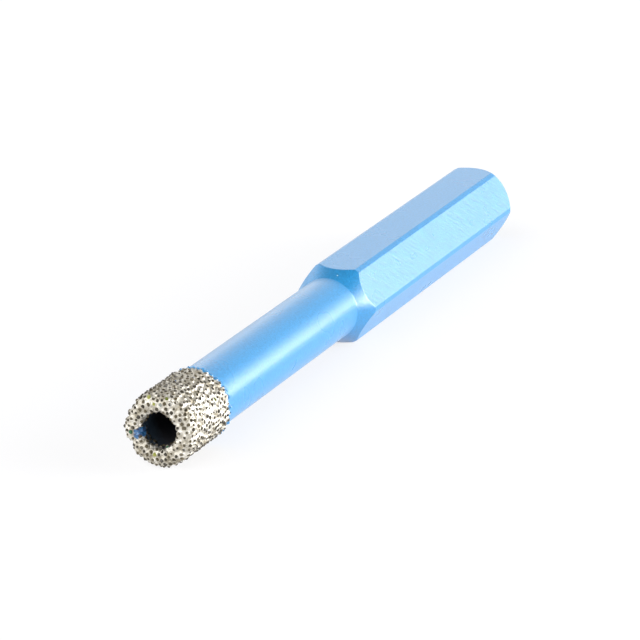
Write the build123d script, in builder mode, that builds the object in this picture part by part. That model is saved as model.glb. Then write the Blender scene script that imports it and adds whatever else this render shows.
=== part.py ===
from build123d import *
import math
import os
import random

# Diamond core drill bit for tile and stone, in millimetres.
# One bar of steel is a hexagonal shank at the rear and a hollow, round barrel in front.
# The barrel's mouth is wrapped inside and out by a layer of braze, and the braze
# holds single diamond crystals.
# The origin is the centre of the shank's rear face. +X runs along the axis to the
# cutting end and +Z is up: the bit lies on one flat of its shank.

# Shank
hex_flats = 6.35            # across flats, the common quarter-inch drive hexagon
corner_diameter = 7.1       # across the corners, which are turned down
rear_face_diameter = 5.7    # flat end face inside the rear chamfer
shank_length = 32.3         # rear face to the front end of a flat, along its middle
chamfer_angle = 30          # both ends of the hexagon, measured from the axis

# Barrel
barrel_diameter = 5.24
barrel_length = 31.35       # from the front cone to the steel's end
neck_radius = 0.2           # left by the turning tool where cone and barrel meet
bore_diameter = 3.4
bore_depth = 30.4           # at full diameter, from the steel's end
drill_point_angle = 118     # included angle of the bore's bottom
rim_chamfer = 0.3           # both edges of the steel's end

# Braze
braze_length = 6.5          # on the outside of the barrel, from the steel's end
lining_length = 5.0         # on the inside of the barrel
feather_length = 0.35       # taper of the braze's two rear edges
feather_edge = 0.04         # thickness left at the end of a taper
mouth_chamfer = 0.3         # inner edge of the braze's end
skin_sides = 24             # narrow flats round the braze, on which the crystals sit
rim_flats = 3               # flats round the outer edge of the braze's end

# Diamond crystals
crystal_size = 0.36         # from corner to opposite corner
crystal_stand = 0.05        # height of a crystal's middle above the braze
braze_under_crystal = 0.02  # between a crystal's lowest corner and the steel
crystal_gap = 0.06          # least space left between two crystals
crystal_tilt = 10           # most that a crystal leans, in degrees
scatter_tries = 9000        # throws of the scatter, enough to fill the crown
scatter_seed = 11

# Worked out from the sizes above
slope = math.tan(math.radians(chamfer_angle))
hex_radius = hex_flats / 2
corner_radius = corner_diameter / 2
rear_face_radius = rear_face_diameter / 2
barrel_radius = barrel_diameter / 2
bore_radius = bore_diameter / 2
wall_middle = (barrel_radius + bore_radius) / 2

rear_land = (corner_radius - rear_face_radius) / slope
front_land = shank_length - (corner_radius - hex_radius) / slope
barrel_rear = shank_length + (hex_radius - barrel_radius) / slope
barrel_front = barrel_rear + barrel_length
bore_rear = barrel_front - bore_depth
bore_bottom = bore_rear - bore_radius / math.tan(math.radians(drill_point_angle / 2))

crystal_reach = crystal_size / 2
braze_thickness = crystal_reach - crystal_stand + braze_under_crystal
braze_radius = barrel_radius + braze_thickness
mouth_radius = bore_radius - braze_thickness
braze_rim = rim_chamfer + braze_thickness
braze_rear = barrel_front - braze_length
braze_front = barrel_front + braze_thickness
lining_rear = barrel_front - lining_length

# The body is turned from bar, its six flats are milled and its barrel is drilled out
with BuildPart() as drill_body:
    with BuildSketch() as turned_profile:
        with BuildLine():
            Polyline(
                (0, 0),
                (0, rear_face_radius),
                (rear_land, corner_radius),
                (front_land, corner_radius),
                (barrel_rear, barrel_radius),
                (barrel_front, barrel_radius),
                (barrel_front, 0),
                close=True,
            )
        make_face()
        neck = turned_profile.vertices().sort_by_distance((barrel_rear, barrel_radius))[0]
        fillet(neck, neck_radius)
    revolve(axis=Axis.X)

    with BuildSketch(Plane.YZ):
        Circle(corner_diameter)
        RegularPolygon(hex_radius, 6, major_radius=False, mode=Mode.SUBTRACT)
    extrude(amount=barrel_rear, mode=Mode.SUBTRACT)

    with BuildSketch():
        with BuildLine():
            Polyline(
                (bore_bottom, 0),
                (bore_rear, bore_radius),
                (barrel_front, bore_radius),
                (barrel_front, 0),
                close=True,
            )
        make_face()
    revolve(axis=Axis.X, mode=Mode.SUBTRACT)
    chamfer(drill_body.edges().group_by(Axis.X)[-1], rim_chamfer)

# Outline of the braze's skin through the middle of one flat, from its rear edge
# along the barrel and round the outer edge of the end
rim_outline = []
for step in range(rim_flats + 1):
    rim_angle = math.radians(90 * step / rim_flats)
    rim_outline.append((
        braze_front - braze_rim + braze_rim * math.sin(rim_angle),
        braze_radius - braze_rim + braze_rim * math.cos(rim_angle),
    ))
skin_outline = [
    (braze_rear, barrel_radius + feather_edge),
    (braze_rear + feather_length, braze_radius),
    *rim_outline,
]

# Corners of the skin's flats, ring by ring
half_flat = math.pi / skin_sides
skin_corners = []
for skin_x, skin_radius in skin_outline:
    corner_ring = skin_radius / math.cos(half_flat)
    for side in range(skin_sides):
        corner_angle = (2 * side + 1) * half_flat
        skin_corners.append((
            skin_x,
            corner_ring * math.cos(corner_angle),
            corner_ring * math.sin(corner_angle),
        ))

# The line along which crystals may sit: the skin's outline without its taper, and
# across the end as far as the crystals' seats stay clear of the mouth's chamfer
crystal_sink = crystal_reach - crystal_stand
with BuildLine() as grit_line:
    Polyline(
        (braze_rear + feather_length + crystal_sink, braze_radius),
        *rim_outline,
        (braze_front, mouth_radius + mouth_chamfer + crystal_sink),
    )
grit_wire = grit_line.wire()


def scatter_crystals():
    """Throw crystals at the skin's flats and keep those that fall clear of the others."""
    throw = random.Random(scatter_seed)
    centres = []
    places = []
    for _ in range(scatter_tries):
        along = throw.random()
        foot = grit_wire @ along
        if throw.random() > foot.Y / braze_radius:
            continue
        outward = (grit_wire % along).rotate(Axis.Z, 90)
        on_flat = Location((0, 0, throw.uniform(-1, 1) * foot.Y * math.tan(half_flat)))
        round_axis = Location((0, 0, 0), (math.degrees(2 * half_flat) * throw.randrange(skin_sides), 0, 0))
        stand = Plane(origin=foot + outward * crystal_stand, z_dir=outward).location
        lean = Location((0, 0, 0), (throw.uniform(-crystal_tilt, crystal_tilt), 0, throw.uniform(0, 360)))
        place = round_axis * on_flat * stand * lean
        centre = tuple(place.position)
        if all(math.dist(centre, other) > crystal_size + crystal_gap for other in centres):
            centres.append(centre)
            places.append(place)
    return places


crystal_corners = [
    (crystal_reach, 0, 0),
    (-crystal_reach, 0, 0),
    (0, crystal_reach, 0),
    (0, -crystal_reach, 0),
    (0, 0, crystal_reach),
    (0, 0, -crystal_reach),
]
crystal_places = scatter_crystals()

# The crystals are diamond octahedra, each a solid of its own
with BuildPart() as diamond_grit:
    with Locations(*crystal_places):
        ConvexPolyhedron(crystal_corners)

# The braze covers the steel's end and holds the lower part of every crystal
with BuildPart() as braze_layer:
    ConvexPolyhedron(skin_corners)
    with BuildSketch() as mouth_profile:
        with BuildLine():
            Polyline(
                (braze_rear, 0),
                (braze_rear, wall_middle),
                (lining_rear, wall_middle),
                (lining_rear, bore_radius - feather_edge),
                (lining_rear + feather_length, mouth_radius),
                (braze_front - mouth_chamfer, mouth_radius),
                (braze_front, mouth_radius + mouth_chamfer),
                (braze_front, 0),
                close=True,
            )
        make_face()
    revolve(axis=Axis.X, mode=Mode.SUBTRACT)
    add(drill_body.part, mode=Mode.SUBTRACT)
    with Locations(*crystal_places):
        ConvexPolyhedron(crystal_corners, mode=Mode.SUBTRACT)

drill_body.part.label = "drill_body"
braze_layer.part.label = "braze_layer"
diamond_grit.part.label = "diamond_grit"

os.makedirs("parts", exist_ok=True)
export_step(drill_body.part, "parts/drill_body.step")
export_step(braze_layer.part, "parts/braze_layer.step")
export_step(diamond_grit.part, "parts/diamond_grit.step")
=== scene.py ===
import math
import random

import bpy
from mathutils import Matrix, Vector, kdtree, noise


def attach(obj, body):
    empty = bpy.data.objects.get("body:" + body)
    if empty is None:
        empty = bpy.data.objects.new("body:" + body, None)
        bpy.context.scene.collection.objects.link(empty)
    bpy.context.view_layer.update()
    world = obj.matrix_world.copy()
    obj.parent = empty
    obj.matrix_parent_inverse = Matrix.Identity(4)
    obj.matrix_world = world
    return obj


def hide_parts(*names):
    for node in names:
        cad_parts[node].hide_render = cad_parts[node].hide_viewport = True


# Diamond core drill bit for tile and stone, lying on a white table.
# One bar of steel with a satin light-blue coat has a hexagonal shank and a hollow, round
# barrel. Nickel braze wraps the barrel's mouth and holds dark diamond grit.
# Sizes are in millimetres and turned to metres where a mesh is made. +X runs along the
# bit's axis to the cutting end, and +Z is up. A place on the bit is its distance along the
# axis, its angle round it in degrees from +Y towards +Z, and its radius.

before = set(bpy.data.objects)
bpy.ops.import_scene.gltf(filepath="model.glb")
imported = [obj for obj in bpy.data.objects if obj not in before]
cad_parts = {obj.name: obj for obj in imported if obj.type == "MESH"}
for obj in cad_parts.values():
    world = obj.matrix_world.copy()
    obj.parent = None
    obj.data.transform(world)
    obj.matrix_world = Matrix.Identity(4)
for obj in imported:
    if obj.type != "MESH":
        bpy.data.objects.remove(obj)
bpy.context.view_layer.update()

MM = 0.001

# Steel body
FLATS = 6
HEX_RADIUS = 3.175          # half of the 6.35 mm across flats
CORNER_RADIUS = 3.55        # corners of the hexagon, turned down
REAR_FACE_RADIUS = 2.85
REAR_LAND = 1.212           # where the rear chamfer meets the corners
FRONT_LAND = 31.65          # where the front cone leaves the corners
CONE_ANGLE = 30             # degrees
BARREL_REAR = 33.261
BARREL_FRONT = 64.611
BARREL_RADIUS = 2.62
NECK_RADIUS = 0.2           # left by the turning tool between cone and barrel
NECK_STEPS = 5
BORE_RADIUS = 1.7
BORE_REAR = 34.211
BORE_TIP = 33.19
DRILL_TIP_RADIUS = 0.01     # the bore's last ring, before it is closed to a point
RIM_CHAMFER = 0.3
TURNED_SIDES = 192
BAR_OVERHANG = 2.0          # the bar for the six flats reaches past both ends by this much
EDGE_ROUNDING = 0.03        # the coat's thickness rounds every edge by this much
EDGE_STEPS = 2
EDGE_ANGLE = 15             # edges sharper than this are rounded, in degrees
SMOOTH_ANGLE = 35           # faces that meet at less than this are shaded as one
LARGE_FACE_WEIGHT = 80      # above 50, the large faces rule the shading at their edges

# Braze
BRAZE_REAR = 57.85
BRAZE_FRONT = 64.78
BRAZE_RADIUS = 2.78
MOUTH_RADIUS = 1.52
LINING_REAR = 59.6
WALL_MIDDLE = (BORE_RADIUS + BARREL_RADIUS) / 2  # radius between outer sleeve and lining
EDGE_RISE = 0.25            # each rear edge rises to the full thickness over this length
EDGE_FOOT = (0.05, 0.1)     # first point of the outer one's rise, along the bit and off the steel
RIM_ROUNDING = 0.62         # outer edge of the braze's end
RIM_STEPS = 5
MOUTH_ROUNDING = 0.34       # inner edge of the braze's end
MOUTH_STEPS = 3
BRAZE_SIDES = 92
BRAZE_STEP = 0.2            # length of one ring of faces before it is subdivided
LINING_STEP = BRAZE_STEP * 1.6  # longer in the mouth, where little is seen of it
BRAZE_LEVELS = 2
STEEL_BITE = 0.02           # the braze's inner side lies this far under the steel's skin
SKIN_FADE = 0.4             # its skin is even at the rear edges, and fully uneven this far on
# Waves in a millimetre of the uneven skin, and how high they stand
SKIN_WAVES = ((0.9, 0.045), (2.1, 0.025))
# Places where the braze has run thick or thin round its end: distance along the bit and
# angle round it, then height and width
RIM_LUMPS = (
    (64.2, 185, 0.18, 0.42),
    (64.2, 197, 0.14, 0.26),
    (64.45, 202, 0.16, 0.16),
    (64.45, 208, -0.32, 0.24),
    (64.45, 217, -0.14, 0.35),
    (64.45, 224, 0.1, 0.2),
    (64.2, 229, 0.18, 0.3),
    (64.1, 256, 0.14, 0.5),
    (64.1, 285, 0.1, 0.6),
    (64.1, 146, -0.42, 0.36),
    (64.2, 167, -0.1, 0.25),
    (62.6, 120, 0.05, 0.6),
    (60.4, 75, 0.04, 0.7),
)

# Diamond grit
GRIT_PITCH = 0.325          # least distance between two crystals round the mouth
SLEEVE_PITCH = 0.365        # and behind it, where they sit farther apart
GRIT_SIZE = 0.165           # from a crystal's middle to its corners
GRIT_SPREAD = (0.55, 1.25, 1.0)  # smallest, largest and most common share of that size
GRIT_STAND = 0.07           # height of a crystal's middle above the braze's skin
GRIT_MARGIN = 0.2           # the sleeve's rear edge stays free of crystals
GRIT_LINING_REAR = 63.85    # crystals end here inside the mouth
PLACES_IN_MM = 40           # faces are put in order to the fortieth of a millimetre
CRYSTAL_SHAPES = 6
CUBE_SIDE = 2.0             # a crystal is cut from this cube, then made smaller
CORNER_CUT = (0.62, 0.95)   # least and most that is taken off the cube's corners
EDGE_WEAR = 0.1             # share by which its corners are smoothed
STRETCH = (0.85, 1.15)      # least and most that it is stretched along each of its axes
MENISCUS = 0.13             # how high the braze climbs round a crystal
COLLAR_RADIUS = 0.15        # top of that collar, from the crystal's middle
COLLAR_WIDTH = 0.07
COLLARS = 3                 # each point of the skin may lie in the collars of this many
# Each random step has a source of its own, so that a change to one leaves the others
SEAT_SEED = 5
SIZE_SEED = 6
TURN_SEED = 7

# Shades of the crystals. Those below PLAIN_TINTS are the common browns.
PLAIN_TINTS = 0.9
CRYSTAL_SHADES = (
    (0.0, "#302918"),
    (0.3, "#3F3725"),
    (0.6, "#524932"),
    (PLAIN_TINTS, "#989A42"),
    (0.92, "#626B22"),
    (0.94, "#265A3E"),
    (0.96, "#8F938C"),
    (0.98, "#3E5C8C"),
)
# Crystals of other colours: place on the bit, and tint
TINTED = (
    (64.7, 80, 2.65, 0.93),
    (64.78, 98, 2.17, 0.91),
    (64.6, 113, 2.7, 0.91),
    (64.78, 186, 2.28, 0.95),
    (64.78, 269, 1.86, 0.91),
    (64.6, 295, 1.55, 0.95),
    (64.78, 83, 2.1, 0.97),
    (61.39, 96, 2.8, 0.99),
    (60.0, 28, 2.8, 0.93),
    (62.0, 250, 2.8, 0.91),
    (60.8, 180, 2.8, 0.95),
)
CRYSTAL_ROUGHNESS = 0.35
CRYSTAL_GLOSS = 0.14        # weaker than on clean diamond
DIAMOND_IOR = 2.42

# Blue lacquer
PAINT_DEEP = "#2A81B8"
PAINT_LIGHT = "#3088BF"
PAINT_DUST = "#E8F4FA"
PAINT_OVER_BRAZE = "#2A6496"  # the thin coat on the crown's mouth
PAINT_OVER_GRIT = "#1E3A66"   # and on the crystals there, dark for what is under it
THIN_COAT = (62.0, 63.0)    # along the bit, where the coat becomes the thin one
LACQUER_ROUGHNESS = (0.25, 0.31)
LACQUER_GLOSS = 1.0         # a baked coat mirrors more than the pigment under it
CLOUD_SIZE = 4.0
GRAIN_SIZE = 0.15           # the real grain is near 0.05, too fine to show
GRAIN_DEPTH = 0.012
GRAIN_TONE = 0.32           # how much lighter or darker the pigment's grain is
SPECK_RADIUS = 0.05
SPECK_PLACE = (32.8, 0.55, 2.83)  # x, y and z of the one fleck of dust, on the cone
NOISE_RANGE = (0.35, 0.65)  # most values of Blender's noise lie in here

# Grinding marks under the lacquer. They run slantwise over the flats: the first direction
# crosses them, the second follows them.
MARK_CROSSING = Vector((0.641, 0.385, -0.666))
MARK_RUNNING = Vector((0.769, -0.32, 0.555))
MARK_PITCH = 0.22
MARK_LENGTH = 1.6
MARK_DEPTH = 0.02
MARK_TONE = 0.4             # how much lighter or darker a mark is
MARK_PATCH = 3.5            # size of the patches in which they come and go
MARK_LEAST = 0.5            # share of their strength between the patches
# The flat that has the marks faces this way. They start at the first depth under it and
# have their full strength at the second.
GROUND_FLAT = (0, math.cos(math.radians(30)), math.sin(math.radians(30)))
GROUND_SKIN = (0.1, 0.02)

# Overspray on the crown: a fringe at its rear edge and a patch on its mouth
FRINGE_END = (57.75, 57.85)  # along the bit, where the fringe thins out
FRINGE_BAYS = 0.9           # the most that its ragged edge reaches past that
PATCH_PLACE = (64.5, 194, 1.75)
PATCH_END = (0.74, 0.82)    # from the patch's middle, where it thins out
PATCH_BAYS = 0.5            # the most that its ragged edge falls short of that
BAY_SIZE = 5 / 12           # of the bays in both ragged edges

# Black oxide and painted shade in the bore, with a haze of overspray by the mouth that darkens into
# the painted shade deeper in
OXIDE_AND_SHADE_BLACK = "#24242A"
SCALE_HAZE = "#2F4455"
SCALE_ROUGHNESS = 0.6
HAZE_PLACE = (64.0, 190, 1.5)
HAZE_END = (0.2, 2.2)       # from that place, where the haze thins out and darkens into painted shade
LINING_INSIDE = 1.85        # braze nearer to the axis than this is the lining
LINING_SHADE = (64.25, 64.7)  # along the bit, where the painted shade on the lining fades out towards the end
# Steel nearer to the axis than this, and past the shank's end, is the bore
STEEL_INSIDE = 2.1
SHANK_END = 33.0

# Finish of the braze
BRAZE_DARK = "#9C9482"
BRAZE_LIGHT = "#E6E2D8"
BRAZE_METAL = 0.6           # the rest is the dull film
BRAZE_ROUGHNESS = (0.6, 0.4)  # of the dark clouds and of the light ones
BRAZE_CLOUD_SIZE = 0.625
RIPPLE_SIZE = 0.2
RIPPLE_DEPTH = 0.02

# Table, light and camera
TABLE_WIDTH = 2000.0
TABLE_GAP = 0.01            # keeps the table's face apart from the flat that lies on it
TABLE_WHITE = "#F8F8FC"
TABLE_GLOW = 0.78           # share of pure white in what the camera sees of the table
PURE_WHITE = "#FFFFFF"
# Soft light of the studio, in broad round patches of the sky: azimuth and elevation in
# degrees, and the light's strength there. It is brightest low behind the bit's right side.
SOFT_LIGHTS = (
    (120, 3, 30.4),
    (90, 3, 0.7),
    (150, 20, 0.15),
    (180, 20, 1.3),
    (210, 3, 1.5),
    (210, 20, 0.85),
    (240, 20, 1.7),
    (300, 3, 3.2),
    (330, 3, 1.7),
    (315, 40, 3.85),
    (0, 40, 4.2),
    (0, 20, 2.5),
)
LIGHT_SHARPNESS = 15        # half of a patch's strength is left 17 degrees from its middle
EYE = Vector((305.3925, 118.0893, 103.5375))
AIM = Vector((35.1076, 0.0968, -0.3898))
ROLL = 1.4201               # degrees
FOCAL_LENGTH = 214.868
SENSOR_WIDTH = 36
NEAREST = 10.0              # the camera shows what lies between these two distances
FARTHEST = 10000.0


# Colours and nodes


def linear(hex_colour):
    """Turn an sRGB hex colour into the linear values that Blender's sockets take."""
    parts = [int(hex_colour[place:place + 2], 16) / 255 for place in (1, 3, 5)]
    flat = [part / 12.92 if part <= 0.04045 else ((part + 0.055) / 1.055) ** 2.4 for part in parts]
    return (*flat, 1.0)


def new_material(name):
    material = bpy.data.materials.new(name)
    material.use_nodes = True
    material.node_tree.nodes.clear()
    return material, material.node_tree


def add(tree, kind, settings=None, **inputs):
    """Add one node with its settings. Inputs are values, or nodes or sockets to link."""
    node = tree.nodes.new(kind)
    for name, value in (settings or {}).items():
        setattr(node, name, value)
    for name, value in inputs.items():
        key = int(name[1:]) if name[0] == "_" else name.replace("_", " ")
        socket = node.inputs[key]
        if isinstance(value, bpy.types.Node):
            value = value.outputs[0]
        if isinstance(value, bpy.types.NodeSocket):
            tree.links.new(value, socket)
        else:
            socket.default_value = value
    return node


# Modelling by hand


def deselect_all():
    if bpy.context.mode != "OBJECT":
        bpy.ops.object.mode_set(mode="OBJECT")
    bpy.ops.object.select_all(action="DESELECT")


def only(obj):
    deselect_all()
    obj.select_set(True)
    bpy.context.view_layer.objects.active = obj


def turned_ring(name, x, radius, sides):
    """Start a turned shape with one open ring round the X axis."""
    deselect_all()
    bpy.ops.mesh.primitive_circle_add(
        vertices=sides,
        radius=radius * MM,
        location=(x * MM, 0, 0),
        rotation=(0, math.pi / 2, 0),
    )
    obj = bpy.context.object
    obj.name = name
    bpy.ops.object.transform_apply(location=True, rotation=True, scale=True)
    return obj


def draw_out(stations):
    """In edit mode, draw the selected ring out along stations of (x, radius)."""
    x, radius = stations[0]
    for next_x, next_radius in stations[1:]:
        bpy.ops.mesh.extrude_region_move(
            TRANSFORM_OT_translate={"value": ((next_x - x) * MM, 0, 0)}
        )
        share = next_radius / radius
        bpy.ops.transform.resize(value=(1, share, share), center_override=(next_x * MM, 0, 0))
        x, radius = next_x, next_radius


def round_axis(x, angle, radius):
    """The point at a place on the bit, still in millimetres."""
    turn = math.radians(angle)
    return Vector((x, radius * math.cos(turn), radius * math.sin(turn)))


def arc(centre, radius, start, end, steps):
    """Stations round part of a circle, angles in degrees from the X axis."""
    angles = [math.radians(start + (end - start) * step / steps) for step in range(steps + 1)]
    return [(centre[0] + radius * math.cos(a), centre[1] + radius * math.sin(a)) for a in angles]


def line(start, end, step):
    """Stations at even steps between two points, without the first."""
    count = max(1, round(math.dist(start, end) / step))
    return [
        (start[0] + (end[0] - start[0]) * i / count, start[1] + (end[1] - start[1]) * i / count)
        for i in range(1, count + 1)
    ]


def apply_modifier(obj, kind, **settings):
    only(obj)
    modifier = obj.modifiers.new(kind.lower(), kind)
    for name, value in settings.items():
        setattr(modifier, name, value)
    bpy.ops.object.modifier_apply(modifier=modifier.name)


# Steel body


def turn_body():
    """Turn the body's round shape from bar and drill its barrel."""
    setback = NECK_RADIUS * math.tan(math.radians(CONE_ANGLE) / 2)
    neck_centre = (BARREL_REAR + setback, BARREL_RADIUS + NECK_RADIUS)
    rear = (0, REAR_FACE_RADIUS)
    outline = [
        rear,
        (REAR_LAND, CORNER_RADIUS),
        (FRONT_LAND, CORNER_RADIUS),
        *arc(neck_centre, NECK_RADIUS, 270 - CONE_ANGLE, 270, NECK_STEPS),
        (BARREL_FRONT - RIM_CHAMFER, BARREL_RADIUS),
        (BARREL_FRONT, BARREL_RADIUS - RIM_CHAMFER),
        (BARREL_FRONT, BORE_RADIUS + RIM_CHAMFER),
        (BARREL_FRONT - RIM_CHAMFER, BORE_RADIUS),
        (BORE_REAR, BORE_RADIUS),
        (BORE_TIP, DRILL_TIP_RADIUS),
    ]
    body = turned_ring("coated_steel_body", *rear, TURNED_SIDES)
    bpy.ops.object.mode_set(mode="EDIT")
    bpy.ops.mesh.select_all(action="SELECT")
    draw_out(outline)
    bpy.ops.mesh.merge(type="CENTER")
    bpy.ops.mesh.select_all(action="DESELECT")
    bpy.ops.mesh.select_non_manifold(extend=False)
    bpy.ops.mesh.edge_face_add()
    bpy.ops.mesh.select_all(action="SELECT")
    bpy.ops.mesh.normals_make_consistent(inside=False)
    bpy.ops.object.mode_set(mode="OBJECT")
    return body


def mill_flats(body):
    """Cut the six flats, which leaves the round barrel untouched, and round every edge."""
    deselect_all()
    reach = BARREL_FRONT + 2 * BAR_OVERHANG
    bpy.ops.mesh.primitive_cylinder_add(
        vertices=FLATS,
        radius=HEX_RADIUS / math.cos(math.pi / FLATS) * MM,
        depth=reach * MM,
        location=((reach / 2 - BAR_OVERHANG) * MM, 0, 0),
        rotation=(0, math.pi / 2, 0),
    )
    bar = bpy.context.object
    apply_modifier(body, "BOOLEAN", operation="INTERSECT", object=bar, solver="EXACT")
    bpy.data.objects.remove(bar)
    apply_modifier(
        body,
        "BEVEL",
        width=EDGE_ROUNDING * MM,
        segments=EDGE_STEPS,
        limit_method="ANGLE",
        angle_limit=math.radians(EDGE_ANGLE),
    )
    only(body)
    bpy.ops.object.shade_smooth_by_angle(angle=math.radians(SMOOTH_ANGLE))
    apply_modifier(body, "WEIGHTED_NORMAL", keep_sharp=True, weight=LARGE_FACE_WEIGHT)


# Braze and grit


def make_braze():
    """Draw the braze out as one sleeve: over the barrel, round its end and into the mouth."""
    rim_centre = (BRAZE_FRONT - RIM_ROUNDING, BRAZE_RADIUS - RIM_ROUNDING)
    rim = arc(rim_centre, RIM_ROUNDING, 90, 0, RIM_STEPS)
    mouth_centre = (BRAZE_FRONT - MOUTH_ROUNDING, MOUTH_RADIUS + MOUTH_ROUNDING)
    mouth = arc(mouth_centre, MOUTH_ROUNDING, 0, -90, MOUTH_STEPS)
    start = (BRAZE_REAR, BARREL_RADIUS - STEEL_BITE)
    risen = (BRAZE_REAR + EDGE_RISE, BRAZE_RADIUS)
    outline = [
        start,
        (BRAZE_REAR + EDGE_FOOT[0], BARREL_RADIUS + EDGE_FOOT[1]),
        risen,
        *line(risen, rim[0], BRAZE_STEP),
        *rim[1:],
        *line(rim[-1], mouth[0], BRAZE_STEP),
        *mouth[1:],
        *line(mouth[-1], (LINING_REAR + EDGE_RISE, MOUTH_RADIUS), LINING_STEP),
        (LINING_REAR, BORE_RADIUS + STEEL_BITE),
    ]
    braze = turned_ring("nickel_braze_layer", *start, BRAZE_SIDES)
    bpy.ops.object.mode_set(mode="EDIT")
    bpy.ops.mesh.select_all(action="SELECT")
    draw_out(outline)
    bpy.ops.mesh.select_all(action="SELECT")
    bpy.ops.mesh.normals_make_consistent(inside=False)
    bpy.ops.object.mode_set(mode="OBJECT")
    apply_modifier(braze, "SUBSURF", levels=BRAZE_LEVELS, render_levels=BRAZE_LEVELS)
    return braze


def place_order(face):
    """A key that sorts faces by place, for Blender keeps no order of faces between two runs."""
    x, y, z = face.center / MM
    turn = math.atan2(z, y) / math.tau
    sectors = BRAZE_SIDES * 2 ** BRAZE_LEVELS
    return (
        round(x * PLACES_IN_MM),
        round(math.hypot(y, z) * PLACES_IN_MM),
        math.floor(turn * sectors),
    )


def scatter_grit(braze, throw):
    """Choose the points of the braze's skin where crystals sit, no two nearer than the pitch."""
    mesh = braze.data
    spots = []
    for face in sorted(mesh.polygons, key=place_order):
        x = face.center.x / MM
        radius = math.hypot(face.center.y, face.center.z) / MM
        if x < BRAZE_REAR + GRIT_MARGIN or (radius < BORE_RADIUS and x < GRIT_LINING_REAR):
            continue
        spots.append(face.index)
    throw.shuffle(spots)
    cell = SLEEVE_PITCH * MM
    taken = {}
    seats = []
    for index in spots:
        face = mesh.polygons[index]
        where = face.center
        key = tuple(math.floor(value / cell) for value in where)
        near = (
            other
            for i in (-1, 0, 1)
            for j in (-1, 0, 1)
            for k in (-1, 0, 1)
            for other in taken.get((key[0] + i, key[1] + j, key[2] + k), ())
        )
        at_mouth = where.x / MM > BRAZE_FRONT - RIM_ROUNDING
        pitch = (GRIT_PITCH if at_mouth else SLEEVE_PITCH) * MM
        if any((other - where).length < pitch for other in near):
            continue
        taken.setdefault(key, []).append(where.copy())
        seats.append((where.copy(), face.normal.copy()))
    return seats


def skin_rise(place):
    """Height of the braze's uneven skin above its drawn shape, at a point in millimetres."""
    rise = sum(noise.noise(place * waves) * height for waves, height in SKIN_WAVES)
    for x, angle, height, width in RIM_LUMPS:
        gap = (place - round_axis(x, angle, BRAZE_RADIUS)).length
        rise += height * math.exp(-((gap / width) ** 2))
    # It thins out to nothing at the sleeve's two rear edges, outside and in the bore
    rear = BRAZE_REAR if math.hypot(place.y, place.z) > WALL_MIDDLE else LINING_REAR
    fade = (place.x - rear) / SKIN_FADE
    return rise * min(1.0, max(0.0, fade))


def wet_the_grit(braze, seats, sizes):
    """Let the braze's skin sag into lumps and climb up round every crystal."""
    tree = kdtree.KDTree(len(seats))
    for index, (where, _) in enumerate(seats):
        tree.insert(where, index)
    tree.balance()
    mesh = braze.data
    normals = [vertex.normal.copy() for vertex in mesh.vertices]
    for vertex, normal in zip(mesh.vertices, normals):
        collar = 0.0
        for _, index, distance in tree.find_n(vertex.co, COLLARS):
            gap = distance / MM / sizes[index]
            climb = MENISCUS * math.exp(-(((gap - COLLAR_RADIUS) / COLLAR_WIDTH) ** 2))
            collar = max(collar, climb)
        vertex.co += normal * (skin_rise(vertex.co / MM) + collar) * MM
    mesh.update()


def close_braze(braze):
    """Lay the sleeve's inner side along the steel, from its edge in the bore to the outer one."""
    front = BARREL_FRONT - STEEL_BITE
    only(braze)
    bpy.ops.object.mode_set(mode="EDIT")
    bpy.ops.mesh.select_all(action="DESELECT")
    bpy.ops.mesh.select_non_manifold(extend=False)
    bpy.ops.object.mode_set(mode="OBJECT")
    # Of the two open edges, only the one in the bore stays selected
    points = braze.data.vertices
    for vertex in points:
        vertex.select = vertex.select and vertex.co.x / MM > (BRAZE_REAR + LINING_REAR) / 2
    for edge in braze.data.edges:
        edge.select = all(points[index].select for index in edge.vertices)
    bpy.ops.object.mode_set(mode="EDIT")
    draw_out([
        (LINING_REAR, BORE_RADIUS + STEEL_BITE),
        (BARREL_FRONT - RIM_CHAMFER, BORE_RADIUS + STEEL_BITE),
        (front, BORE_RADIUS + RIM_CHAMFER),
        (front, BARREL_RADIUS - RIM_CHAMFER),
        (BARREL_FRONT - RIM_CHAMFER, BARREL_RADIUS - STEEL_BITE),
    ])
    bpy.ops.mesh.select_all(action="DESELECT")
    bpy.ops.mesh.select_non_manifold(extend=False)
    bpy.ops.mesh.bridge_edge_loops()
    bpy.ops.mesh.select_all(action="SELECT")
    bpy.ops.mesh.normals_make_consistent(inside=False)
    bpy.ops.object.mode_set(mode="OBJECT")
    bpy.ops.object.shade_smooth()


def make_crystals(throw):
    """Cut a few blocky crystals from cubes, each near 1 mm from its middle to its corners."""
    crystals = []
    for number in range(CRYSTAL_SHAPES):
        deselect_all()
        bpy.ops.mesh.primitive_cube_add(size=CUBE_SIDE * MM)
        crystal = bpy.context.object
        crystal.name = f"crystal_{number}"
        bpy.ops.object.mode_set(mode="EDIT")
        bpy.ops.mesh.select_all(action="SELECT")
        bpy.ops.mesh.bevel(offset=throw.uniform(*CORNER_CUT) * MM, segments=1, affect="VERTICES")
        bpy.ops.mesh.vertices_smooth(factor=EDGE_WEAR)
        bpy.ops.object.mode_set(mode="OBJECT")
        reach = max(vertex.co.length for vertex in crystal.data.vertices) / MM
        stretch = [throw.uniform(*STRETCH) / reach for _ in range(3)]
        crystal.data.transform(Matrix.Diagonal((*stretch, 1)))
        crystals.append(crystal)
    return crystals


def choose_tints(seats, sizes, throw):
    """Give each crystal a plain tint, and a few at set places another colour."""
    tints = [throw.uniform(0.0, PLAIN_TINTS) for _ in seats]
    for x, angle, radius, tint in TINTED:
        spot = round_axis(x, angle, radius) * MM
        # Large crystals are preferred, so that the colour is seen
        nearest = min(
            range(len(seats)),
            key=lambda index: (seats[index][0] - spot).length / sizes[index] ** 2,
        )
        tints[nearest] = tint
    return tints


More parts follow.
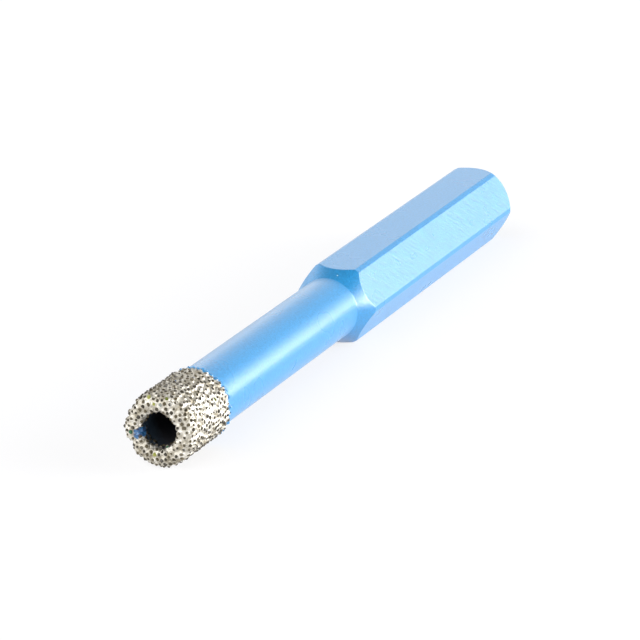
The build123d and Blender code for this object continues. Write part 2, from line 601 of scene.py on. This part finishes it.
def set_grit(seats, sizes, throw):
    """Set one crystal in every seat, turned at random, and join them all as one piece."""
    crystals = make_crystals(throw)
    tints = choose_tints(seats, sizes, throw)
    copies = []
    for (where, normal), size, shade in zip(seats, sizes, tints):
        master = throw.choice(crystals)
        copy = bpy.data.objects.new("crystal", master.data.copy())
        turn = Matrix.Identity(4)
        for axis in "XYZ":
            turn = turn @ Matrix.Rotation(throw.uniform(0, math.tau), 4, axis)
        grow = Matrix.Scale(GRIT_SIZE * size, 4)
        stand = GRIT_STAND + skin_rise(where / MM)
        middle = Matrix.Translation(where + normal * stand * MM)
        copy.data.transform(middle @ turn @ grow)
        tint = copy.data.attributes.new("tint", "FLOAT", "POINT")
        tint.data.foreach_set("value", [shade] * len(copy.data.vertices))
        bpy.context.scene.collection.objects.link(copy)
        copies.append(copy)
    deselect_all()
    for copy in copies:
        copy.select_set(True)
    bpy.context.view_layer.objects.active = copies[0]
    bpy.ops.object.join()
    grit = bpy.context.object
    grit.name = "black_diamond_grit"
    for crystal in crystals:
        bpy.data.objects.remove(crystal)
    return grit


# Finishes


def in_millimetres(tree):
    """The place on the bit in millimetres, and its distance along and from the axis."""
    place = add(
        tree,
        "ShaderNodeVectorMath",
        {"operation": "SCALE"},
        _0=add(tree, "ShaderNodeTexCoord").outputs["Object"],
        Scale=1 / MM,
    )
    along = add(tree, "ShaderNodeVectorMath", {"operation": "DOT_PRODUCT"}, _0=place, _1=(1, 0, 0))
    across = add(tree, "ShaderNodeVectorMath", {"operation": "MULTIPLY"}, _0=place, _1=(0, 1, 1))
    radius = add(tree, "ShaderNodeVectorMath", {"operation": "LENGTH"}, _0=across)
    return place, along.outputs["Value"], radius.outputs["Value"]


def grinding_marks(tree, place):
    """Noise stretched along the grinding marks, and their strength on the ground flat."""
    crossing = add(
        tree,
        "ShaderNodeVectorMath",
        {"operation": "DOT_PRODUCT"},
        _0=place,
        _1=MARK_CROSSING / MARK_PITCH,
    )
    running = add(
        tree,
        "ShaderNodeVectorMath",
        {"operation": "DOT_PRODUCT"},
        _0=place,
        _1=MARK_RUNNING / MARK_LENGTH,
    )
    stretched = add(
        tree, "ShaderNodeCombineXYZ", X=crossing.outputs["Value"], Y=running.outputs["Value"]
    )
    marks = add(tree, "ShaderNodeTexNoise", Vector=stretched, Scale=1.0, Detail=3.0)
    out_to_flat = add(
        tree, "ShaderNodeVectorMath", {"operation": "DOT_PRODUCT"}, _0=place, _1=GROUND_FLAT
    )
    on_flat = add(
        tree,
        "ShaderNodeMapRange",
        Value=out_to_flat.outputs["Value"],
        From_Min=HEX_RADIUS - GROUND_SKIN[0],
        From_Max=HEX_RADIUS - GROUND_SKIN[1],
    )
    # They come and go along the shank, in patches as wide as the flat
    patches = add(tree, "ShaderNodeTexNoise", Vector=place, Scale=1 / MARK_PATCH, Detail=1.0)
    worn = add(
        tree,
        "ShaderNodeMapRange",
        Value=patches,
        From_Min=NOISE_RANGE[0],
        From_Max=NOISE_RANGE[1],
        To_Min=MARK_LEAST,
    )
    strength = add(tree, "ShaderNodeMath", {"operation": "MULTIPLY"}, _0=on_flat, _1=worn)
    return marks, strength


def coat_colour(tree, place, along, clouds, tone, thin):
    """The coat's cloudy and grained blue, the thin coat's colour, and one fleck of dust."""
    blue = add(
        tree,
        "ShaderNodeMix",
        {"data_type": "RGBA"},
        _0=clouds,
        _6=linear(PAINT_DEEP),
        _7=linear(PAINT_LIGHT),
    )
    grained = add(tree, "ShaderNodeHueSaturation", Value=tone, Color=blue.outputs[2])
    coat = add(
        tree,
        "ShaderNodeMix",
        {"data_type": "RGBA"},
        _0=add(
            tree, "ShaderNodeMapRange", Value=along, From_Min=THIN_COAT[0], From_Max=THIN_COAT[1]
        ),
        _6=grained,
        _7=linear(thin),
    )
    # The fleck is caught in the coat
    to_speck = add(
        tree, "ShaderNodeVectorMath", {"operation": "DISTANCE"}, _0=place, _1=SPECK_PLACE
    )
    speck = add(
        tree,
        "ShaderNodeMath",
        {"operation": "LESS_THAN"},
        _0=to_speck.outputs["Value"],
        _1=SPECK_RADIUS,
    )
    colour = add(
        tree,
        "ShaderNodeMix",
        {"data_type": "RGBA"},
        _0=speck,
        _6=coat.outputs[2],
        _7=linear(PAINT_DUST),
    )
    return colour.outputs[2]


def lacquer_shader(tree, place, along, thin):
    """Satin blue lacquer. At the crown's mouth the coat is thin and has a colour of its own."""
    clouds = add(tree, "ShaderNodeTexNoise", Vector=place, Scale=1 / CLOUD_SIZE, Detail=2.0)
    grain = add(tree, "ShaderNodeTexNoise", Vector=place, Scale=1 / GRAIN_SIZE, Detail=1.0)
    marks, strength = grinding_marks(tree, place)
    # The pigment sits in the lacquer as a fine grain, and the marks show through it
    grain_tone = add(
        tree, "ShaderNodeMapRange", Value=grain, To_Min=1 - GRAIN_TONE, To_Max=1 + GRAIN_TONE
    )
    mark_tone = add(
        tree, "ShaderNodeMapRange", Value=marks, To_Min=-MARK_TONE, To_Max=MARK_TONE
    )
    tone = add(
        tree,
        "ShaderNodeMath",
        {"operation": "MULTIPLY_ADD"},
        _0=mark_tone,
        _1=strength,
        _2=grain_tone,
    )
    sheen = add(
        tree,
        "ShaderNodeMapRange",
        Value=clouds,
        To_Min=LACQUER_ROUGHNESS[0],
        To_Max=LACQUER_ROUGHNESS[1],
    )
    marked = add(
        tree, "ShaderNodeBump", Strength=strength, Distance=MARK_DEPTH * MM, Height=marks
    )
    skin = add(tree, "ShaderNodeBump", Distance=GRAIN_DEPTH * MM, Height=grain, Normal=marked)
    return add(
        tree,
        "ShaderNodeBsdfPrincipled",
        Base_Color=coat_colour(tree, place, along, clouds, tone, thin),
        Roughness=sheen,
        Normal=skin,
        Specular_IOR_Level=LACQUER_GLOSS,
    )


def overspray_mask(tree, place, along):
    """Where the spray gun caught the crown: its rear edge, and one patch on its mouth."""
    ragged = add(tree, "ShaderNodeTexNoise", Vector=place, Scale=1 / BAY_SIZE, Detail=3.0)
    edge = add(
        tree,
        "ShaderNodeMath",
        {"operation": "MULTIPLY_ADD"},
        _0=ragged,
        _1=-FRINGE_BAYS,
        _2=along,
    )
    fringe = add(
        tree,
        "ShaderNodeMapRange",
        Value=edge,
        From_Min=FRINGE_END[0],
        From_Max=FRINGE_END[1],
        To_Min=1.0,
        To_Max=0.0,
    )
    to_patch = add(
        tree,
        "ShaderNodeVectorMath",
        {"operation": "DISTANCE"},
        _0=place,
        _1=round_axis(*PATCH_PLACE),
    )
    reach = add(
        tree,
        "ShaderNodeMath",
        {"operation": "MULTIPLY_ADD"},
        _0=ragged,
        _1=PATCH_BAYS,
        _2=to_patch.outputs["Value"],
    )
    patch = add(
        tree,
        "ShaderNodeMapRange",
        Value=reach,
        From_Min=PATCH_END[0],
        From_Max=PATCH_END[1],
        To_Min=1.0,
        To_Max=0.0,
    )
    return add(tree, "ShaderNodeMath", {"operation": "MAXIMUM"}, _0=fringe, _1=patch)


def oxide_and_shade_shader(tree, place):
    """Black oxide and painted shade inside the barrel, with a haze of blue overspray by the mouth
    that darkens into the painted shade deeper in.
    """
    depth = add(
        tree,
        "ShaderNodeVectorMath",
        {"operation": "DISTANCE"},
        _0=place,
        _1=round_axis(*HAZE_PLACE),
    )
    fade = add(
        tree,
        "ShaderNodeMapRange",
        Value=depth.outputs["Value"],
        From_Min=HAZE_END[0],
        From_Max=HAZE_END[1],
    )
    tone = add(
        tree,
        "ShaderNodeMix",
        {"data_type": "RGBA"},
        _0=fade,
        _6=linear(SCALE_HAZE),
        _7=linear(OXIDE_AND_SHADE_BLACK),
    )
    return add(
        tree, "ShaderNodeBsdfPrincipled", Base_Color=tone.outputs[2], Roughness=SCALE_ROUGHNESS
    )


def lacquered_steel():
    """Satin lacquer, sprayed on ground steel and baked. The eye sees an even light blue with a
    broad soft sheen, a fine grain, one fleck of dust and faint grinding marks under the coat."""
    material, tree = new_material("satin_blue_lacquer_on_steel")
    place, along, radius = in_millimetres(tree)
    # In the bore the lacquer gives way to black oxide and painted shade
    inside = add(tree, "ShaderNodeMath", {"operation": "LESS_THAN"}, _0=radius, _1=STEEL_INSIDE)
    past_shank = add(tree, "ShaderNodeMath", {"operation": "GREATER_THAN"}, _0=along, _1=SHANK_END)
    in_bore = add(tree, "ShaderNodeMath", {"operation": "MULTIPLY"}, _0=inside, _1=past_shank)
    surface = add(
        tree,
        "ShaderNodeMixShader",
        _0=in_bore,
        _1=lacquer_shader(tree, place, along, PAINT_DEEP),
        _2=oxide_and_shade_shader(tree, place),
    )
    add(tree, "ShaderNodeOutputMaterial", Surface=surface)
    return material


def nickel_shader(tree, place):
    """The bare braze, with slow mottling and small ripples."""
    clouds = add(tree, "ShaderNodeTexNoise", Vector=place, Scale=1 / BRAZE_CLOUD_SIZE, Detail=5.0)
    mottling = add(
        tree,
        "ShaderNodeMapRange",
        Value=clouds,
        From_Min=NOISE_RANGE[0],
        From_Max=NOISE_RANGE[1],
    )
    silver = add(
        tree,
        "ShaderNodeMix",
        {"data_type": "RGBA"},
        _0=mottling,
        _6=linear(BRAZE_DARK),
        _7=linear(BRAZE_LIGHT),
    )
    polish = add(
        tree,
        "ShaderNodeMapRange",
        Value=mottling,
        To_Min=BRAZE_ROUGHNESS[0],
        To_Max=BRAZE_ROUGHNESS[1],
    )
    ripples = add(tree, "ShaderNodeTexNoise", Vector=place, Scale=1 / RIPPLE_SIZE, Detail=2.0)
    return add(
        tree,
        "ShaderNodeBsdfPrincipled",
        Base_Color=silver.outputs[2],
        Metallic=BRAZE_METAL,
        Roughness=polish,
        Normal=add(tree, "ShaderNodeBump", Distance=RIPPLE_DEPTH * MM, Height=ripples),
    )


def melted_braze():
    """Nickel alloy braze, melted on in a furnace. It has the warm silver of nickel, set smooth
    and wet-looking, with slow mottling and small ripples where it froze between the crystals.
    The furnace leaves a thin pale film on it, so it mirrors less than polished metal does."""
    material, tree = new_material("furnace_melted_nickel_braze")
    place, along, radius = in_millimetres(tree)
    # Inside the mouth the lining is painted black as shade, fading out towards the braze's end
    inside = add(tree, "ShaderNodeMath", {"operation": "LESS_THAN"}, _0=radius, _1=LINING_INSIDE)
    depth = add(
        tree,
        "ShaderNodeMapRange",
        Value=along,
        From_Min=LINING_SHADE[0],
        From_Max=LINING_SHADE[1],
        To_Min=1.0,
        To_Max=0.0,
    )
    in_mouth = add(tree, "ShaderNodeMath", {"operation": "MULTIPLY"}, _0=inside, _1=depth)
    unpainted = add(
        tree,
        "ShaderNodeMixShader",
        _0=in_mouth,
        _1=nickel_shader(tree, place),
        _2=oxide_and_shade_shader(tree, place),
    )
    surface = add(
        tree,
        "ShaderNodeMixShader",
        _0=overspray_mask(tree, place, along),
        _1=unpainted,
        _2=lacquer_shader(tree, place, along, PAINT_OVER_BRAZE),
    )
    add(tree, "ShaderNodeOutputMaterial", Surface=surface)
    return material


def sieved_diamond():
    """Synthetic diamond grit, as crushed and sieved: nearly opaque in this size and darkened by
    the furnace. The eye sees olive brown, with a few green, pale and bluish crystals, and faces
    with a broad, weak gloss."""
    material, tree = new_material("sieved_synthetic_diamond")
    place, along, _ = in_millimetres(tree)
    tint = add(tree, "ShaderNodeAttribute", {"attribute_name": "tint"})
    shades = add(tree, "ShaderNodeValToRGB", Fac=tint.outputs["Fac"])
    shades.color_ramp.interpolation = "CONSTANT"
    stops = shades.color_ramp.elements
    while len(stops) < len(CRYSTAL_SHADES):
        stops.new(1.0)
    for stop, (position, shade) in zip(stops, CRYSTAL_SHADES):
        stop.position = position
        stop.color = linear(shade)
    stone = add(
        tree,
        "ShaderNodeBsdfPrincipled",
        Base_Color=shades.outputs["Color"],
        Roughness=CRYSTAL_ROUGHNESS,
        IOR=DIAMOND_IOR,
        Specular_IOR_Level=CRYSTAL_GLOSS,
    )
    surface = add(
        tree,
        "ShaderNodeMixShader",
        _0=overspray_mask(tree, place, along),
        _1=stone,
        _2=lacquer_shader(tree, place, along, PAINT_OVER_GRIT),
    )
    add(tree, "ShaderNodeOutputMaterial", Surface=surface)
    return material


def white_paper():
    """Smooth white paper. It takes the shadow, and camera and gloss see it as nearly white."""
    material, tree = new_material("white_table")
    lit = add(tree, "ShaderNodeBsdfDiffuse", Color=linear(TABLE_WHITE))
    glow = add(tree, "ShaderNodeEmission", Color=linear(PURE_WHITE), Strength=1.0)
    path = add(tree, "ShaderNodeLightPath")
    seen = add(
        tree,
        "ShaderNodeMath",
        {"operation": "MULTIPLY"},
        _0=path.outputs["Is Camera Ray"],
        _1=TABLE_GLOW,
    )
    mirrored = add(
        tree,
        "ShaderNodeMath",
        {"operation": "MAXIMUM"},
        _0=path.outputs["Is Glossy Ray"],
        _1=path.outputs["Is Transmission Ray"],
    )
    share = add(tree, "ShaderNodeMath", {"operation": "MAXIMUM"}, _0=seen, _1=mirrored)
    surface = add(tree, "ShaderNodeMixShader", _0=share, _1=lit, _2=glow)
    add(tree, "ShaderNodeOutputMaterial", Surface=surface)
    return material


def dress(piece, material):
    piece.data.materials.clear()
    piece.data.materials.append(material)


# Table, light and camera


def make_table():
    deselect_all()
    bpy.ops.mesh.primitive_plane_add(
        size=TABLE_WIDTH * MM, location=(0, 0, -(HEX_RADIUS + TABLE_GAP) * MM)
    )
    table = bpy.context.object
    table.name = "table"
    bpy.ops.object.transform_apply(location=True, rotation=True, scale=True)
    return table


def sky_point(azimuth, elevation):
    """The point of a sky of radius 1 that lies in a direction given in degrees."""
    turn, lift = math.radians(azimuth), math.radians(elevation)
    return Vector((math.cos(lift) * math.cos(turn), math.cos(lift) * math.sin(turn), math.sin(lift)))


def light_studio():
    """Light the bit from the sky's soft patches, and show the camera a white backdrop."""
    world = bpy.data.worlds.new("studio")
    bpy.context.scene.world = world
    world.use_nodes = True
    sky = world.node_tree
    sky.nodes.clear()
    direction = add(sky, "ShaderNodeTexCoord").outputs["Generated"]
    total = 0.0
    for azimuth, elevation, strength in SOFT_LIGHTS:
        nearness = add(
            sky,
            "ShaderNodeVectorMath",
            {"operation": "DOT_PRODUCT"},
            _0=direction,
            _1=sky_point(azimuth, elevation),
        )
        power = add(
            sky,
            "ShaderNodeMath",
            {"operation": "MULTIPLY_ADD"},
            _0=nearness.outputs["Value"],
            _1=LIGHT_SHARPNESS,
            _2=math.log(strength) - LIGHT_SHARPNESS,
        )
        patch = add(sky, "ShaderNodeMath", {"operation": "EXPONENT"}, _0=power)
        total = add(sky, "ShaderNodeMath", {"operation": "ADD"}, _0=patch, _1=total)
    light = add(sky, "ShaderNodeBackground", Strength=total)
    backdrop = add(sky, "ShaderNodeBackground", Color=linear(PURE_WHITE), Strength=1.0)
    rays = add(sky, "ShaderNodeLightPath")
    surface = add(
        sky, "ShaderNodeMixShader", _0=rays.outputs["Is Camera Ray"], _1=light, _2=backdrop
    )
    add(sky, "ShaderNodeOutputWorld", Surface=surface)


def place_camera():
    """Stand in front of the cutting end, to the right and a little above."""
    lens = bpy.data.cameras.new("camera")
    lens.lens = FOCAL_LENGTH
    lens.sensor_width = SENSOR_WIDTH
    lens.clip_start = NEAREST * MM
    lens.clip_end = FARTHEST * MM
    camera = bpy.data.objects.new("camera", lens)
    bpy.context.scene.collection.objects.link(camera)
    camera.location = EYE * MM
    look = (EYE * MM - AIM * MM).to_track_quat("Z", "Y").to_matrix()
    camera.rotation_euler = (look @ Matrix.Rotation(math.radians(ROLL), 3, "Z")).to_euler()
    bpy.context.scene.camera = camera


body = turn_body()
mill_flats(body)
braze = make_braze()
seats = scatter_grit(braze, random.Random(SEAT_SEED))
sieve = random.Random(SIZE_SEED)
sizes = [sieve.triangular(*GRIT_SPREAD) for _ in seats]
wet_the_grit(braze, seats, sizes)
close_braze(braze)
grit = set_grit(seats, sizes, random.Random(TURN_SEED))

for piece, node, slot in (
    (body, "drill_body", "blue_coated_steel"),
    (braze, "braze_layer", "nickel_braze"),
    (grit, "diamond_grit", "diamond"),
):
    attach(piece, "root")
    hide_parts(node)

table = make_table()

dress(body, lacquered_steel())
dress(braze, melted_braze())
dress(grit, sieved_diamond())
dress(table, white_paper())
light_studio()
place_camera()
bpy.context.scene.view_settings.view_transform = "Standard"
